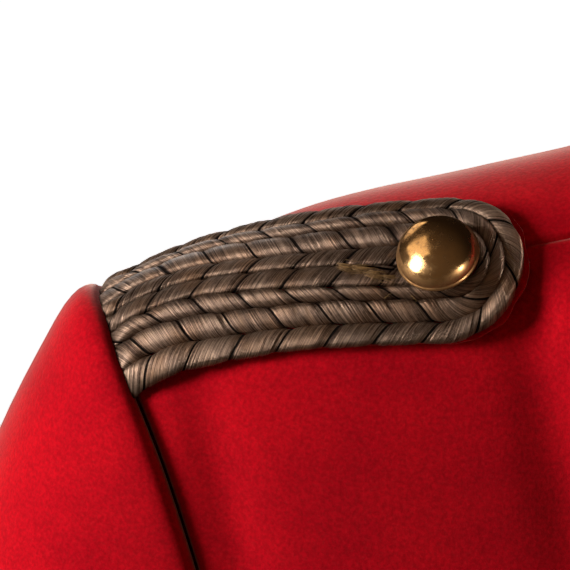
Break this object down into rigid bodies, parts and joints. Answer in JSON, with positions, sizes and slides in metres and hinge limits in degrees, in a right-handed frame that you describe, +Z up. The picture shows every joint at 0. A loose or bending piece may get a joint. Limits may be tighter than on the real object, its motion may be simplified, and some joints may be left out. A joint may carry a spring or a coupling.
{
  "type": "military dress tunic",
  "caption": "Scarlet wool dress tunic with stand collar, two-piece sleeves, corded metal thread shoulder boards and domed gilt buttons.",
  "frame": {"origin": "middle of the neck's base, at the height of the collar seam over the shoulders", "axes": "+Z up out of the neck, -Y out of the front, +X to the wearer's left"},
  "size_m": [0.679, 0.285, 0.7549],
  "materials": {
    "scarlet_wool": "felted matt",
    "underlay_wool": "felted matt",
    "metal_thread": "aged and dull",
    "gilt_metal": "polished with a brown patina"
  },
  "bodies": {
    "root": {"front_left": "scarlet_wool", "front_right": "scarlet_wool", "back_left": "scarlet_wool", "back_right": "scarlet_wool", "collar": "scarlet_wool", "upper_sleeve_left": "scarlet_wool", "upper_sleeve_right": "scarlet_wool", "under_sleeve_left": "scarlet_wool", "under_sleeve_right": "scarlet_wool", "front_button_1": "gilt_metal", "front_button_2": "gilt_metal", "front_button_3": "gilt_metal", "front_button_4": "gilt_metal", "front_button_5": "gilt_metal", "front_button_6": "gilt_metal", "front_button_7": "gilt_metal", "front_button_8": "gilt_metal", "board_underlay_left": "underlay_wool", "board_cord_1_left": "metal_thread", "board_cord_2_left": "metal_thread", "board_cord_3_left": "metal_thread", "board_cord_4_left": "metal_thread", "shoulder_button_left": "gilt_metal", "board_underlay_right": "underlay_wool", "board_cord_1_right": "metal_thread", "board_cord_2_right": "metal_thread", "board_cord_3_right": "metal_thread", "board_cord_4_right": "metal_thread", "shoulder_button_right": "gilt_metal"}
  },
  "joints": []
}
